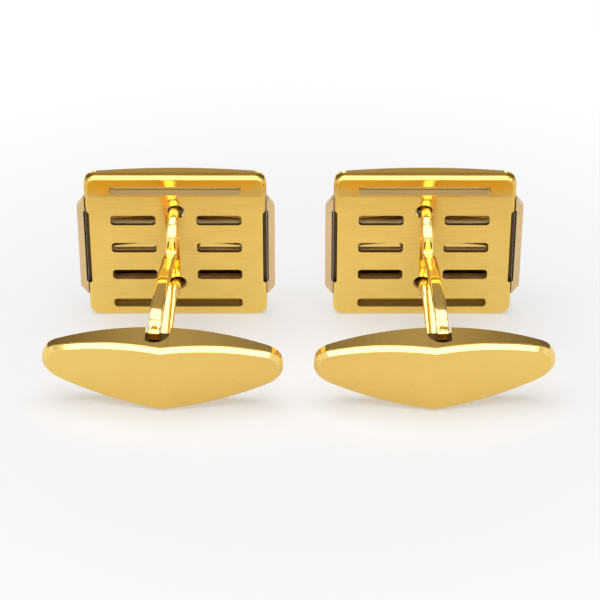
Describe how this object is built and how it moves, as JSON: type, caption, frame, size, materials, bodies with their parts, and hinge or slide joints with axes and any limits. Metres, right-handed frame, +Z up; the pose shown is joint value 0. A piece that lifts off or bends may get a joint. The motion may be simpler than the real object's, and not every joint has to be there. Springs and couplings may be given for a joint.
{
  "type": "cufflink",
  "caption": "Rectangular cufflink pair, each with a slotted back plate, a two-legged link and a boat-shaped toggle that swivels on a pin to pass a buttonhole.",
  "frame": {"origin": "on the surface that the pair stands on, below the centre of its bounding box", "axes": "+X along the pair, from the left one to the right one seen from the toggles; +Y from the toggles to the fronts; +Z up"},
  "size_m": [0.042, 0.0194, 0.0159],
  "materials": {
    "shell_gold": "polished gold plate",
    "plate_gold": "satin gold plate with fine level lines and a polished edge",
    "rail_gold": "satin pale gold plate",
    "rib_gold": "polished gold plate",
    "inner_brass": "bare brass",
    "pin_steel": "ground steel",
    "leg_gold": "polished gold plate",
    "toggle_gold": "polished gold plate",
    "cover_gold": "brushed gold plate with a polished bevel"
  },
  "bodies": {
    "heads": {"left_front_shell": "shell_gold", "left_back_plate": "plate_gold", "left_outer_rail": "rail_gold", "left_inner_rail": "rail_gold", "left_rib_insert": "rib_gold", "left_pivot_block": "inner_brass", "right_front_shell": "shell_gold", "right_back_plate": "plate_gold", "right_outer_rail": "rail_gold", "right_inner_rail": "rail_gold", "right_rib_insert": "rib_gold", "right_pivot_block": "inner_brass"},
    "left_link": {"left_link_rod": "pin_steel", "left_upper_leg": "leg_gold", "left_lower_leg": "leg_gold", "left_toggle_pin": "pin_steel"},
    "left_toggle": {"left_toggle_body": "toggle_gold", "left_toggle_cover": "cover_gold"},
    "right_link": {"right_link_rod": "pin_steel", "right_upper_leg": "leg_gold", "right_lower_leg": "leg_gold", "right_toggle_pin": "pin_steel"},
    "right_toggle": {"right_toggle_body": "toggle_gold", "right_toggle_cover": "cover_gold"}
  },
  "joints": [
    {"name": "left_link_swing", "type": "hinge", "parent": "heads", "child": "left_link", "pos_m": [-0.01028, 0.00728, 0.00804], "axis": [0, -0.2788, 0.9603], "range_deg": [-1.9, 4.8]},
    {"name": "left_toggle_swivel", "type": "hinge", "parent": "left_link", "child": "left_toggle", "pos_m": [-0.0117, -0.00663, 0.004], "axis": [0, -0.2788, 0.9603], "range_deg": [-3, 87]},
    {"name": "right_link_swing", "type": "hinge", "parent": "heads", "child": "right_link", "pos_m": [0.01052, 0.00728, 0.00804], "axis": [0, -0.2786, 0.9604], "range_deg": [-3.8, 2.9]},
    {"name": "right_toggle_swivel", "type": "hinge", "parent": "right_link", "child": "right_toggle", "pos_m": [0.01169, -0.00665, 0.004], "axis": [0, -0.2786, 0.9604], "range_deg": [-87, 3]}
  ]
}
